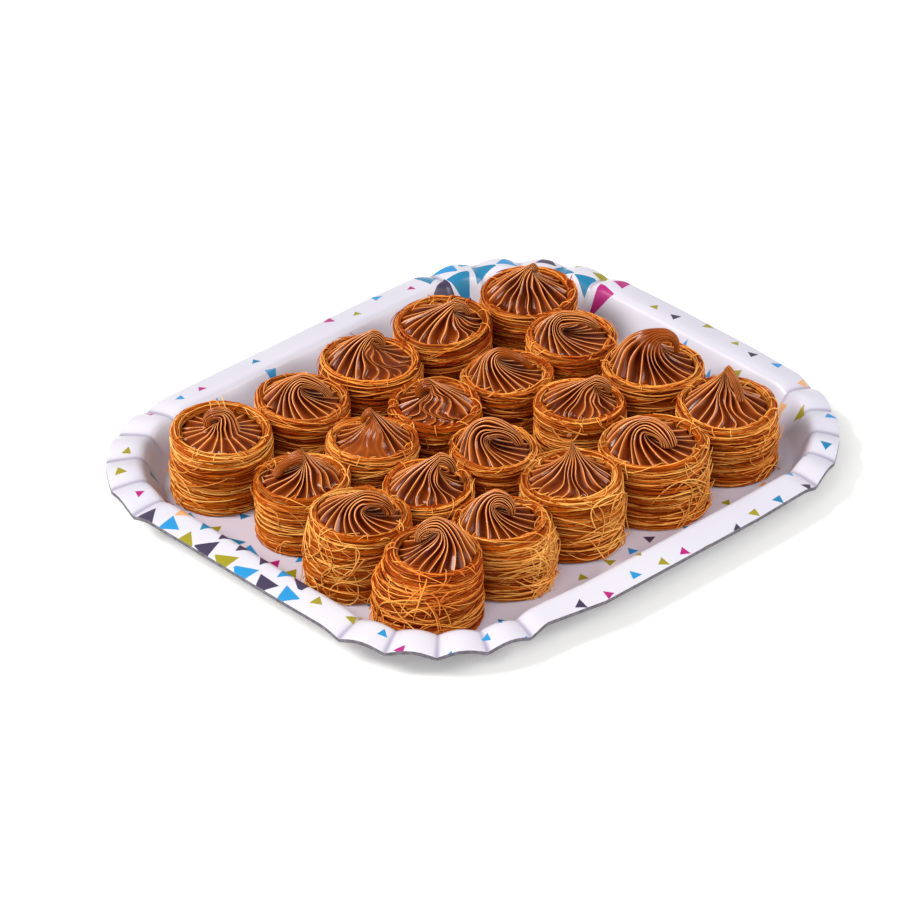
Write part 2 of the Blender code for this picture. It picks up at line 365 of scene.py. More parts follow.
def card_rings():
    """Upper rings from the floor out to the edge, then under rings back to the floor."""
    upper = [tray_outline(a * MM, h * MM, f, g) for a, h, f, g in SECTION]
    under = []
    for order, (inset, height, flute, flange) in enumerate(SECTION):
        before = SECTION[max(order - 1, 0)]
        ahead = SECTION[min(order + 1, len(SECTION) - 1)]
        run, rise = before[0] - ahead[0], ahead[1] - before[1]
        length = math.hypot(run, rise)
        out, down = CARD / MM * rise / length, CARD / MM * run / length
        if inset < LIP:
            out, down = 0, CARD / MM * (EDGE_HANG if inset == 0 else 1)
        under.append(tray_outline((inset - out) * MM, max(height - down, 0) * MM, flute, flange))
    return upper + under[::-1]


def skin(rings):
    """Vertices and faces through closed rings of equal length, with a cap on the first and last."""
    size = len(rings[0])
    points = [tuple(point) for ring in rings for point in ring]
    faces = []
    for order in range(len(rings) - 1):
        low, high = order * size, (order + 1) * size
        for i in range(size):
            onward = (i + 1) % size
            faces.append((low + i, low + onward, high + onward, high + i))
    faces.append(tuple(range(size))[::-1])
    faces.append(tuple(range(len(points) - size, len(points))))
    return points, faces


def smooth_mesh(name, points, faces, *finishes):
    """A mesh with smooth shading and these materials."""
    mesh = bpy.data.meshes.new(name)
    mesh.from_pydata(points, [], faces)
    for finish in finishes:
        mesh.materials.append(finish)
    mesh.shade_smooth()
    return mesh


def new_piece(name, mesh):
    """An object at the origin that rides on the root body."""
    piece = bpy.data.objects.new(name, mesh)
    scene.collection.objects.link(piece)
    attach(piece, "root")
    return piece


def write_values(mesh, name, values):
    """Stores one number at each point of a mesh."""
    layer = mesh.attributes.new(name, "FLOAT", "POINT")
    layer.data.foreach_set("value", values.astype(np.float32).ravel())


def triangle_count(mesh):
    return sum(len(face.vertices) - 2 for face in mesh.polygons)


rings = card_rings()
tray_points, tray_faces = skin([ring[::-1] for ring in rings])
print("tray faces:", len(tray_faces))

# %% [markdown]
# ## Printed card
#
# The print is a scatter of small triangles in a few party colours, with larger ones crowded on
# the left side and round the far corner. It is generic confetti, so the shader may lay it out by
# itself: a Voronoi texture gives every cell a middle and a random colour. Around that middle a
# triangle is the largest of three slanted distances, turned by one random channel and coloured
# by two. Three such layers, each with its own place on the card, are laid over each other.
#
# The card itself is white. In the creases between the flutes it is painted darker, a painted shade.
# On the floor between the nests and at the foot of the wall it is a plain white, a touch lighter
# and pinker: painted light for the glow that the nests bounce onto it. The board under it is grey,
# and darker above about 12 mm, on the cut edge and under the flange: partly the cut's own dark grey
# and partly painted shade.

# %% Confetti
CONFETTI = (
    (0.0, paint(26, 136, 196)), (0.27, paint(148, 138, 18)), (0.5, paint(60, 50, 78)),
    (0.65, paint(22, 118, 160)), (0.79, paint(168, 18, 114)), (0.93, paint(218, 162, 108)),
)
LEFT_EAST, LEFT_MIDDLE, LEFT_REACH = -0.134, 0.012, 0.058
FAR_EAST, FAR_NORTH = 0.095, 0.052


def left_side(east, north):
    """1 on the middle of the left side."""
    return abs(north - LEFT_MIDDLE).under(LEFT_REACH) * east.under(LEFT_EAST)


def far_corner(east, north):
    """1 round the far corner."""
    return (FAR_EAST - east).under(0) * (FAR_NORTH - north).under(0)


def elsewhere(east, north):
    """1 on the rest of the card."""
    return 1 - left_side(east, north) - far_corner(east, north)


LAYERS = (
    # width of a cell, size, share of the cells, how far they stray, shift, where
    (0.0182, 0.0037, 0.85, 0.5, (0.31, 0.17, 0), elsewhere),
    (0.0152, 0.0084, 1, 0.2, (0.113, 0.372, 0), left_side),
    (0.0152, 0.0086, 1, 0.3, (0.226, 0.149, 0), far_corner),
)


def triangles(place, cell, size, share, loose, shift, where):
    """A layer of scattered triangles: (where they are, their colour)."""
    scaled = place.vector("ADD", shift).vector("MULTIPLY", (1 / cell, 1 / cell, 0))
    cells = scaled.node("ShaderNodeTexVoronoi", {"voronoi_dimensions": "2D", "feature": "F1"},
                        {"Vector": scaled, "Scale": 1, "Randomness": loose}, "Color")
    red = cells.node("ShaderNodeSeparateColor", inputs={"Color": cells}, output="Red")
    green, blue = red.other("Green"), red.other("Blue")

    local = scaled.vector("SUBTRACT", cells.other("Position"))
    turned = local.node("ShaderNodeVectorRotate", {"rotation_type": "Z_AXIS"},
                        {"Vector": local, "Angle": red * 6.28})
    along = turned.axis("X")
    across = along.other("Y")
    right_slant = along * 0.866 - across * 0.5
    left_slant = along * -0.95 - across * 0.5
    reach = (green * 0.35 + 0.8) * size / cell
    inside = right_slant.at_least(left_slant).at_least(across).under(reach * 0.5)

    middle = cells.other("Position").vector("MULTIPLY", (cell, cell, 0)).vector("SUBTRACT", shift)
    east = middle.axis("X")
    shown = blue.under(share) * where(east, east.other("Y"))
    hue = (green * 7.3 + red * 3.1).fraction()
    ink = hue.node("ShaderNodeValToRGB", {"stops": CONFETTI}, {"Fac": hue})
    ink.socket.node.color_ramp.interpolation = "CONSTANT"
    return inside * shown, ink


card_finish, card_inputs, place = new_finish("printed_card")
cloud = place.noise(9, 2)
card_colour = cloud.step(0.35, 0.65).colour(paint(208, 206, 216), paint(200, 199, 212))
# Painted shade: the creases between the flutes are painted a darker lilac grey.
card_colour = (place.stored("crease") * 0.7).colour(card_colour, paint(118, 106, 138))
# Painted light: the floor and the foot of the wall, up to about 9 mm, take a plain white a touch
# lighter and pinker, for the glow the nests bounce onto them.
card_colour = place.axis("Z").step(0.001, 0.009).colour(paint(214, 207, 221), card_colour)
for layer in LAYERS:
    shown, ink = triangles(place, *layer)
    card_colour = shown.colour(card_colour, ink)
wire(card_inputs, {
    "Base Color": card_colour, "Roughness": cloud * 0.1 + 0.3,
    "Normal": place.noise(38, 1).bump(0.25, 0.0012),
})

board_finish, board_inputs, place = new_finish("grey_board")
fibres = place.noise(420, 3).step(0.3, 0.7)
cut = fibres.colour(paint(80, 77, 84), paint(112, 108, 116))
underside = fibres.colour(paint(150, 147, 150), paint(176, 173, 174))
# Above about 12 mm, on the cut edge and under the flange, the board is darker: partly the cut's own
# grey, partly painted shade.
board_colour = place.axis("Z").step(0.0115, 0.0135).colour(underside, cut)
wire(board_inputs, {"Base Color": board_colour, "Roughness": 0.85})
print("print:", len(LAYERS), "layers in", len(CONFETTI), "colours")

# %% [markdown]
# The faces below the edge take the board's finish. The creases' painted shade is written to the
# mesh, point by point, as it follows the flutes.

# %% Tray piece
SHARP_ANGLE = math.radians(50)
CREASE_SHADE_POWER = 7

tray_mesh = smooth_mesh("card_tray", tray_points, tray_faces, card_finish, board_finish)
upper_faces = (len(SECTION) - 1) * len(rings[0])
floor_middle = len(tray_faces) - 2
for face in tray_mesh.polygons:
    face.material_index = int(face.index >= upper_faces and face.index != floor_middle)
tray_mesh.set_sharp_from_angle(angle=SHARP_ANGLE)
flutes = [flute for inset, height, flute, flange in SECTION]
# Painted shade for the creases, strongest at a valley's bottom and where the flutes are fullest.
crease_shades = np.outer(flutes + flutes[::-1], ring_valleys()[::-1] ** CREASE_SHADE_POWER)
write_values(tray_mesh, "crease", crease_shades)
tray = new_piece("card_tray", tray_mesh)
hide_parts("tray")
print("tray triangles:", triangle_count(tray_mesh))

# %% [markdown]
# ## Where the nests stand
#
# A confectioner sets the nests in five rows of four, by hand, so each one is off its grid point
# and has its own width and height. The table is the solids' own, in millimetres and degrees, and
# the radii are eased in the same way until the nests clear each other. A nest's rim tilts to one
# side. The solids draw that side before the 144 numbers of a nest's roughness, so these are
# drawn here too and left unused.

# %% Nest table
Nest = namedtuple("Nest", "dx dy radius height skirt toward", defaults=(0, 0))
NESTS = [Nest(*row) for row in (
    (0, -2.4, 24.4, 41, 9.5, 162), (-2.7, -1.2, 26.4, 39.3, 3.5, 165),
    (4, -2.4, 25, 34.2), (0.6, 4.5, 27, 38, 1, 180),
    (-3.1, 1.6, 24.8, 35.9, 4, -60), (-4.2, 2, 24.3, 32.7),
    (1.7, -1.6, 24.6, 35.5), (0.7, -0.6, 25.4, 37),
    (-3.6, 2.8, 26.2, 39, 2, -70), (-8, 3, 23.7, 33.9),
    (-1.2, 2.3, 24.7, 34.4), (1.1, 3.2, 27.2, 36.7),
    (-1, -2.3, 28.6, 37.5, 1.5, -70), (1.1, 1.4, 24.5, 36.8),
    (-4.1, -1, 24.6, 33.3), (2.9, 4.2, 26.7, 37.3),
    (2.3, -1.6, 26.7, 37, 1.5, -60), (2.9, 0.8, 27.8, 36.4),
    (-6.9, 0.4, 24.8, 35.7), (8.8, -2.6, 26.7, 34.4),
)]
GAP = 0.3 * MM
PITCH = 52.4 * MM
GRID_SHIFT = (-6.7 * MM, -2.5 * MM)
WALL, WELL, EDGE_DROP = 5 * MM, 7 * MM, 3.2 * MM
WINDING_SEED, ROUGHNESS_DRAWS = 7, 144


def nest_places():
    """Centre and radius of every nest."""
    places = []
    for index, nest in enumerate(NESTS):
        row, column = divmod(index, 4)
        x = PITCH * (row - 2) + GRID_SHIFT[0] + nest.dx * MM
        y = PITCH * (column - 1.5) + GRID_SHIFT[1] + nest.dy * MM
        places.append([Vector((x, y, CARD + GAP)), nest.radius * MM])
    for first in range(len(places)):
        for second in range(first):
            apart = (places[first][0] - places[second][0]).length
            excess = places[first][1] + places[second][1] + GAP - apart
            if excess > 0:
                places[first][1] -= excess / 2
                places[second][1] -= excess / 2
    return places


places = nest_places()
draw = random.Random(WINDING_SEED)
tilt_sides = []
for nest in NESTS:
    tilt_sides.append(draw.uniform(0, FULL_TURN))
    for spare in range(ROUGHNESS_DRAWS):
        draw.random()
low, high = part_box("nest_08")
print("nest 8: the solid is", round((high.x - low.x) / MM, 1), "mm wide, the table says",
      round(places[7][1] * 2 / MM, 1))

# %% [markdown]
# ## Kataifi finish
#
# Baked strands run from straw to amber. A strand's own tint, how deep it lies in the wall and how
# brown its nest is are attributes that the geometry below writes; the shader only turns them into
# colour. Deep strands are painted darker and redder, a painted shade, because little light comes
# back out, and the more so in a browner nest.

# %% Kataifi material
kataifi, kataifi_inputs, place = new_finish("baked_kataifi")
tint, depth, baked = (place.stored(name) for name in ("tint", "depth", "baked"))
patch = place.noise(55, 2)
straw = tint.step(0.42, 0.98)
golden = straw.colour(tint.colour(paint(174, 74, 0), paint(222, 118, 8)), paint(254, 200, 108))
amber = straw.colour(tint.colour(paint(132, 32, 0), paint(194, 76, 0)), paint(252, 158, 62))
toned = (patch.step(0.35, 0.7) * 0.45 + baked * 0.75).at_most(1).colour(golden, amber)
deep = baked.colour(paint(124, 46, 0), paint(46, 8, 0))
wire(kataifi_inputs, {
    "Base Color": (depth ** 1.25).at_most(1).colour(toned, deep), "Roughness": patch * 0.25 + 0.3,
    "Specular Tint": (1, 0.62, 0.3, 1), "Specular IOR Level": 0.22,
})
print("finish:", kataifi.name)

# %% [markdown]
# ## Wound strands with Geometry Nodes
#
# A nest is made by laying a skein of hair-thin dough round a ring, so nearly every strand runs
# round the wall, a few cross at a slant, and loose ends stick out. Modelling hundreds of strands
# one by one is hopeless, but one strand is easy to say: it starts at an angle and at a distance
# along the wall's section, and it runs on with a slope, a bend and a little wander.
#
# The wall's section is one path: up the outside, over the round rim, down into the well. Two
# numbers, angle and path, then give any place on the nest, and a third lifts it off the wall.
# `wall_place` says that in nodes.

# %% A place on a nest's wall
NEST_SOCKETS = (
    ("Centre", "Vector", (0, 0, 0)), ("Radius", "Float", 0.025), ("Height", "Float", 0.036),
    ("Wall", "Float", 0.005), ("Well", "Float", 0.007), ("Skirt", "Float", 0),
    ("Toward", "Float", 0), ("Rim Tilt", "Float", 0.0012), ("Tilt Side", "Float", 0),
    ("Windings", "Int", 200), ("Strays", "Int", 20), ("Bits", "Int", 12), ("Tangle", "Int", 0),
    ("Tangle Side", "Float", 0), ("Tangle Width", "Float", 0.6), ("Thickness", "Float", 0.0007),
    ("Baked", "Float", 0.3), ("Seed", "Int", 0), ("Finish", "Material", None),
)
LUMP_SIZE = 2.6 * MM
SKIRT_TOP = 0.55


def wall_place(g, angle, path, lift):
    """The point at an angle round the nest and a distance along its wall's section."""
    half = g["Wall"] / 2
    straight = g["Height"] - half
    turn = ((path - straight) / half).at_least(0).at_most(math.pi)
    inside = (path - straight - half * math.pi).at_least(0)
    down = inside.at_most(g["Well"])
    across = (inside - down) + (path * -1).at_least(0)
    height = path.at_least(0).at_most(straight) + (half + lift) * turn.sin() - down
    share = height / g["Height"]
    facing = (angle - g["Toward"]).cos().at_least(0) ** 2
    spread = facing * (1 - share.step(SKIRT_TOP, 1)) * g["Skirt"]
    spot = angle.spot(angle.cos() * 1.1 + g["Seed"] * 1.7, angle.sin() * 1.1, height * 55)
    lumps = (spot.noise(1, 1) - 0.5) * LUMP_SIZE
    radius = g["Radius"] - half + (half + lift) * turn.cos() + spread + lumps - across
    radius = radius.at_least(0)
    height = height + g["Rim Tilt"] * (angle - g["Tilt Side"]).cos() * share
    floor_height = g["Thickness"] * 0.5
    point = angle.spot(radius * angle.cos(), radius * angle.sin(), height.at_least(floor_height))
    return point.vector("ADD", g["Centre"])


print("inputs of a nest:", len(NEST_SOCKETS))

# %% [markdown]
# `strands` duplicates a resampled line, draws its random numbers by the duplicate's index, and
# sends every point through `wall_place`.

# %% A layer of strands
STRAND_POINTS = 14
STRAND_SIDES = 4
DEPTH_PER_METRE = 600
THIN_END = 0.55


def strands(g, count, seed, low, high, length, slope, drift, bend, sink, lift, wander, girth,
            side=0, width=math.pi, pale=0):
    """A layer of strands along the wall, in metres and radians.

    They begin between low and high on the path, within width of the angle side. Each slopes and
    bends at random, drifts with its neighbours, sinks into the wall, lifts one end off it and
    wanders on the way. pale is the lowest tint it may have.
    """
    line = g["Seed"].node("GeometryNodeCurvePrimitiveLine")
    line = line.node("GeometryNodeResampleCurve", inputs={"Curve": line, "Count": STRAND_POINTS})
    copies = line.then("DuplicateElements", {"Amount": count}, {"domain": "SPLINE"})
    strand = copies.other("Duplicate Index")
    share = line.node("GeometryNodeSplineParameter", output="Factor") - 0.5

    def dice(lowest, highest, number):
        wires = {"Min_001": lowest, "Max_001": highest, "ID": strand,
                 "Seed": g["Seed"] * 31 + seed * 100 + number}
        return strand.node("FunctionNodeRandomValue", {"data_type": "FLOAT"}, wires, "Value_001")

    def ripples(number):
        spot = strand.spot(share * run * 60, strand * 3.7 + number, g["Seed"] * 2.3)
        return spot.noise(1, 2) - 0.5

    run = dice(*length, 1)
    begin = side + dice(-1, 1, 2) * width
    rise = low + (high - low) * ((strand + dice(0, 1, 3)) / count)
    spot = strand.spot(begin.cos() * 1.3, begin.sin() * 1.3, rise * 90 + g["Seed"])
    lean = spot.noise(1, 0) - 0.5
    heading = dice(-slope, slope, 4) + lean * (2 * drift)
    curve = dice(-bend, bend, 5)
    forward = run * (heading.cos() * share - heading.sin() * curve * share * share / 2)
    upward = run * (heading.sin() * share + heading.cos() * curve * share * share / 2)
    angle = begin + forward / g["Radius"]
    path = rise + upward + ripples(0) * (wander * 2)
    buried = dice(0, 1, 6)
    off = buried * -sink + ripples(40) * wander
    off = off + dice(0, 1, 7) * (share + 0.5) ** 3 * lift
    moved = copies.then("SetPosition", {"Position": wall_place(g, angle, path, off)})
    moved = moved.store("tint", dice(pale, 1, 8)).store("depth", buried * (sink * DEPTH_PER_METRE))
    moved = moved.store("strand", strand + seed * 1000).store("along", share + 0.5)
    circle = line.node("GeometryNodeCurvePrimitiveCircle", inputs={
        "Resolution": STRAND_SIDES, "Radius": g["Thickness"] * (0.5 * girth)})
    circle = circle.store("round", circle.node("GeometryNodeSplineParameter", output="Factor"))
    taper = 1 - ((share * 2) ** 6) * THIN_END
    return moved.node("GeometryNodeCurveToMesh", inputs={
        "Curve": moved, "Profile Curve": circle, "Scale": dice(0.65, 1.25, 9) * taper,
        "Fill Caps": True})


print("faces a strand:", (STRAND_POINTS - 1) * STRAND_SIDES + 2)

# %% [markdown]
# Behind the strands a plain core closes the wall, so that no light shows through. It is a grid
# whose columns run round and whose rows run along the section, from the middle of the foot to
# the middle of the well's floor. Merging by distance closes its seam and its two poles.
#
# Four layers of strands lie over it: the windings, a few strays that cross them, the loose
# tangle on one side of a nest, and short bits that stick out of the rim. The loose ones are paler,
# because they lie in the light.

# %% The nest tree
CORE_COLUMNS, CORE_ROWS = 40, 38
CORE_DEPTH, CORE_SHADE = 1.2 * MM, 0.86
POLE_REACH = 1.35
MERGE_DISTANCE = 0.02 * MM


def nest_core(g):
    """The closed body inside the strands."""
    start_path = g["Radius"] * -POLE_REACH
    length = g["Radius"] * (2 * POLE_REACH) + g["Height"] + g["Well"]
    grid = g["Seed"].node("GeometryNodeMeshGrid", inputs={
        "Size X": 1, "Size Y": 1, "Vertices X": CORE_COLUMNS + 1, "Vertices Y": CORE_ROWS + 1,
    }, output="Mesh")
    spot = grid.node("GeometryNodeInputPosition")
    for name, value in (("tint", 0), ("depth", CORE_SHADE), ("strand", -1),
                        ("along", spot.axis("X") + 0.5), ("round", spot.axis("Y") + 0.5)):
        grid = grid.store(name, value)
    along, up = (grid.node("GeometryNodeInputNamedAttribute", {"data_type": "FLOAT"}, {"Name": key})
                 for key in ("along", "round"))
    target = wall_place(g, along * FULL_TURN, start_path + up * length, -CORE_DEPTH)
    moved = grid.then("SetPosition", {"Position": target})
    return moved.then("MergeByDistance", {"Distance": MERGE_DISTANCE})


def nest_tree():
    """The whole nest, ending in one plain mesh."""
    tree = bpy.data.node_groups.new("kataifi_nest", "GeometryNodeTree")
    for name, kind, value in NEST_SOCKETS:
        socket = tree.interface.new_socket(name, in_out="INPUT", socket_type=f"NodeSocket{kind}")
        if value is not None:
            socket.default_value = value
    tree.interface.new_socket("Geometry", in_out="OUTPUT", socket_type="NodeSocketGeometry")
    entry = tree.nodes.new("NodeGroupInput")
    g = {name: Link(tree, entry.outputs[name]) for name, kind, value in NEST_SOCKETS}
    top = g["Height"] + g["Wall"] * 1.6
    layers = [
        nest_core(g),
        strands(g, g["Windings"], 1, low=0.0004, high=top, length=(0.045, 0.115), slope=0.05,
                drift=0.19, bend=0.14, sink=0.0018, lift=0, wander=0.0008, girth=1),
        strands(g, g["Strays"], 2, low=0.002, high=top, length=(0.02, 0.06), slope=0.3,
                drift=0.3, bend=0.7, sink=0.0003, lift=0.0016, wander=0.0009, girth=0.8, pale=0.2),
        strands(g, g["Tangle"], 3, low=0.001, high=g["Height"] * 0.9, length=(0.01, 0.034),
                slope=1.25, drift=0.5, bend=4.2, sink=0.0004, lift=0.0034, wander=0.0012,
                girth=1.05, side=g["Tangle Side"], width=g["Tangle Width"], pale=0.62),
        strands(g, g["Bits"], 4, low=g["Height"] - 0.002, high=top, length=(0.004, 0.013),
                slope=1.5, drift=0.4, bend=1.5, sink=0, lift=0.003, wander=0.0006, girth=0.8,
                pale=0.4),
    ]
    joined = g["Seed"].node("GeometryNodeJoinGeometry")
    for layer in layers[::-1]:
        tree.links.new(layer.socket, joined.socket.node.inputs[0])
    whole = joined.store("baked", g["Baked"]).then("SetShadeSmooth", {"Shade Smooth": True})
    whole = whole.then("RealizeInstances").then("SetMaterial", {"Material": g["Finish"]})
    leave = tree.nodes.new("NodeGroupOutput")
    tree.links.new(whole.socket, leave.inputs[0])
    return tree


wound = nest_tree()
print("nodes in the nest tree:", len(wound.nodes))

# %% [markdown]
# The modifier's inputs are set by their identifiers before Blender first evaluates it, and the
# evaluated object is turned into a plain mesh. A map is then laid out for each nest, one thin
# row a strand, so that its colours can be kept with it.


# %% From tree to mesh
def grown(name, tree, values):
    """Runs a geometry tree with these inputs and returns its result as a plain mesh."""
    holder = bpy.data.objects.new(name, bpy.data.meshes.new(name))
    scene.collection.objects.link(holder)
    modifier = holder.modifiers.new(name, "NODES")
    modifier.node_group = tree
    for item in tree.interface.items_tree:
        if item.item_type == "SOCKET" and item.in_out == "INPUT" and item.name in values:
            modifier[item.identifier] = values[item.name]
    shown = holder.evaluated_get(bpy.context.evaluated_depsgraph_get())
    mesh = bpy.data.meshes.new_from_object(shown)
    bpy.data.objects.remove(holder)
    return mesh


def corner_values(mesh, name):
    """A point attribute of a mesh, read at every face corner."""
    values = np.zeros(len(mesh.vertices), np.float32)
    mesh.attributes[name].data.foreach_get("value", values)
    corners = np.zeros(len(mesh.loops), np.int32)
    mesh.loops.foreach_get("vertex_index", corners)
    return values[corners]


def per_face(mesh, values):
    """How far the values of each face's corners lie apart, spread back to its corners."""
    starts = np.zeros(len(mesh.polygons), np.int32)
    sizes = np.zeros(len(mesh.polygons), np.int32)
    mesh.polygons.foreach_get("loop_start", starts)
    mesh.polygons.foreach_get("loop_total", sizes)
    span = np.maximum.reduceat(values, starts) - np.minimum.reduceat(values, starts)
    return np.repeat(span, sizes)


def unwrapped(mesh, values):
    """Values of 0 to 1 round a closed loop, with the last face's far side at 1 and not at 0."""
    return np.where((per_face(mesh, values) > 0.5) & (values < 0.25), 1.0, values)


def write_map(mesh, u, v):
    """Lays the mesh's map from one value each way for every face corner."""
    layer = mesh.uv_layers.new(name="OFBake")
    layer.data.foreach_set("uv", np.stack((u, v), 1).astype(np.float32).ravel())


def lay_nest_map(mesh, columns=4, strand_part=0.84, core_low=0.86, core_part=0.13):
    """Gives each strand a thin row of the map, and the core a band above them all."""
    strand = corner_values(mesh, "strand")
    along = corner_values(mesh, "along")
    turn = corner_values(mesh, "round")
    core = strand < -0.5
    names, order = np.unique(strand[~core], return_inverse=True)
    rows = math.ceil(len(names) / columns)
    cap = (per_face(mesh, along) < 1e-4)[~core]
    round_share = unwrapped(mesh, turn)[~core]
    across = np.where(cap, 0.5 + 0.3 * np.sin(round_share * FULL_TURN), 0.1 + 0.8 * round_share)
    length = along[~core] * 0.96 + 0.02 + np.where(cap, 0.012 * np.cos(round_share * FULL_TURN), 0)
    u = np.zeros(len(strand))
    v = np.zeros(len(strand))
    u[~core] = (order // rows + length) / columns
    v[~core] = strand_part * (order % rows + across) / rows
    u[core] = unwrapped(mesh, along)[core]
    v[core] = core_low + core_part * turn[core]
    write_map(mesh, u, v)


def dressed(name, mesh, node):
    """Puts a finished mesh in the scene in place of a solid."""
    piece = new_piece(name, mesh)
    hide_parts(node)


print("helpers ready")

# %% [markdown]
# ## Laying the nests
#
# Most nests are neatly wound. A few have come loose: the nearest one has a wide frayed foot on
# its left, its neighbour hangs a curtain of ends on the right, and others are fuzzy low down.
# Those go in by number, with how many loose strands, on which side in degrees and how widely. How
# brown each nest is goes in by number too.

# %% Nests
TANGLES = {
    1: (44, 175, 1.0), 2: (34, 175, 0.9), 4: (10, 150, 0.8), 5: (84, -62, 0.55), 9: (34, -70, 0.7),
    13: (40, -60, 0.8), 15: (22, 150, 0.6), 17: (18, -60, 0.8), 19: (26, 150, 0.6),
}
FEW_LOOSE = (6, 0, 3.1)
NEST_BROWNNESS = (
    0.85, 0.15, 0.15, 0.0, 0.2, 0.5, 0.65, 0.75, 0.25, 0.6,
    0.7, 0.85, 0.25, 0.55, 0.75, 0.9, 0.5, 0.6, 0.8, 0.8,
)
WINDINGS_PER_MM = 9.4
STRAYS, BITS = 36, 30

strand_total = 0
for number, (nest, (centre, radius), tilt) in enumerate(zip(NESTS, places, tilt_sides), start=1):
    count, side, width = TANGLES.get(number, FEW_LOOSE)
    name = f"nest_{number:02d}_strands"
    mesh = grown(name, wound, {
        "Centre": centre, "Radius": radius, "Height": nest.height * MM, "Wall": WALL, "Well": WELL,
        "Skirt": nest.skirt * MM, "Toward": math.radians(nest.toward), "Tilt Side": tilt,
        "Windings": int(WINDINGS_PER_MM * nest.height), "Strays": STRAYS, "Bits": BITS,
        "Tangle": count, "Tangle Side": math.radians(side), "Tangle Width": width,
        "Baked": NEST_BROWNNESS[number - 1], "Seed": number, "Finish": kataifi,
    })
    lay_nest_map(mesh)
    dressed(name, mesh, f"nest_{number:02d}")
    strand_total += triangle_count(mesh)
print("triangles in the nests:", strand_total)

# %% [markdown]
# ## Chocolate finish
#
# Piped chocolate cream is glossy and brown. Its crests are painted pale, a painted highlight, and
# the grooves between them stay brown. The mesh below writes how near each point is to a crest, as a
# painted light value, and the shader mixes its browns by that. A groove is mid brown at the foot,
# and painted dark higher up where it is deep, a painted shade, and it is duller there too, so its
# values fall on the way up. A faint cloudiness and a low bump break the gloss up.

# %% Chocolate material
chocolate, chocolate_inputs, place = new_finish("chocolate_cream")
crest = place.stored("crest")
cloud = place.noise(90, 2)
patches = cloud.step(0.35, 0.65)
# Grooves: a brown, painted darker still where the value is low, a painted shade.
shaded_groove = patches.colour(paint(90, 31, 0), paint(115, 46, 4))
shaded_groove = crest.step(0, 0.3).colour(paint(50, 5, 0), shaded_groove)
# Ridges: a paler brown, palest at the crest, a painted highlight.
ridge = patches.colour(paint(176, 84, 20), paint(204, 112, 40))
ridge = crest.step(0.7, 1).colour(ridge, paint(244, 170, 104))
wire(chocolate_inputs, {
    "Base Color": crest.step(0.3, 1).colour(shaded_groove, ridge),
    "Roughness": cloud * 0.14 + 0.42 - crest.step(0, 0.24) * 0.24,
    "Specular Tint": (1, 0.64, 0.4, 1), "Specular IOR Level": 0.04,
    "Coat Weight": crest.step(0.14, 0.3) * 0.4, "Coat Roughness": 0.14,
    "Normal": place.noise(260, 1).bump(0.2, 0.0004),
})
print("finish:", chocolate.name)

# %% [markdown]
# ## Piped swirls
#
# A star nozzle leaves a ridged rope. The cook circles it up from the well and folds it over, so
# the swirl is best said by two curves in the plane in which it leans: its back and its front.
# Each section is a ridged circle whose diameter runs from a point of one curve to the matching
# point of the other, and it swings about a hinge across the plane. The curves are the solids'
# own, with finer steps and all twenty ridges. The table is in millimetres and degrees.

# %% Swirl table
Swirl = namedtuple("Swirl", "lean top rise back reach drop hang bend lobe tip front neck twist")
SWIRLS = [Swirl(*row) for row in (
    (145, -0.5, 22.3, 1.25, 11.5, 11.5, 95, 1, 9, 4, 2.2, 1, 30),
    (-43, 2.5, 15.8, 1.4, 15, 12.5, 86, 1, 11, 5, 3, 1, -35),
    (140, 0, 19.5, 1.9, 15.5, 15, 82, 1.3, 7.5, 5, 2.6, 1, 25),
    (140, 1, 15.8, 0.9, 8.5, 8, 105, 1, 8, 4.5, 1.2, 0.4, 0),
    (-43, -2.5, 20, 1.3, 10.5, 12, 98, 1, 10, 4.5, 2.4, 1, -30),
    (-43, 6, 21.6, 1.7, 9, 10, 92, 1, 7, 4, 3.2, 1, -25),
    (140, 0.5, 21.5, 1.9, 5.5, 7.5, 92, 1, 4.8, 3, 2.6, 1, 8),
    (-50, 0.5, 17.3, 1.4, 16, 13, 80, 1.2, 8.5, 4.5, 3, 1, -28),
    (140, 0, 28.5, 2.8, 3, 4, 55, 1, 2.4, 1.4, 3.2, 1, 0),
    (-60, -1, 19.5, 1, 17, 14, 80, 1, 13, 5, 2.8, 1, -35),
    (140, 3, 17.8, 1.8, 8, 8.5, 100, 1, 8, 4.5, 1.8, 1, 12),
    (-43, 1.5, 20.8, 1.5, 7, 8, 102, 1, 6.5, 3.5, 3.2, 1, -15),
    (-72, -2, 16.8, 1.2, 15.5, 13, 80, 1, 10, 8.5, 2.8, 1, -28),
    (-43, 7.5, 17.6, 1.7, 9.5, 9, 94, 1, 7, 3.5, 2.2, 1, -5),
    (-43, -4.5, 18.3, 1.2, 18, 13, 80, 1.2, 6.5, 3.8, 2.6, 1, -40),
    (-43, 6, 16.3, 2, 9.5, 9, 84, 1.1, 7.5, 3.5, 2.2, 1, -10),
    (-90, 0, 26, 2.1, 12.5, 17, 84, 1.35, 5, 4.5, 3.4, 1, 8),
    (-43, 4, 24.5, 1, 10, 10.5, 115, 1, 7.5, 2.4, 3.2, 1, -10),
    (-43, -5, 17, 1.2, 20, 11, 78, 1, 11, 5, 3, 1, -45),
    (-43, 2, 20.8, 1.6, 3.5, 6, 75, 1, 5, 2.5, 2, 1, -5),
)]
NECK_RISE = 2.5 * MM
FOOT_HOLLOW, NECK_HOLLOW = 0.4, 1.2
CLIMB_STEPS, FOLD_STEPS, TIP_STEPS = 26, 26, 5
TIP_LENGTH, TIP_END = 0.32, 0.05


def raised(value, power):
    """A power that keeps the value's sign."""
    return math.copysign(abs(value) ** power, value)


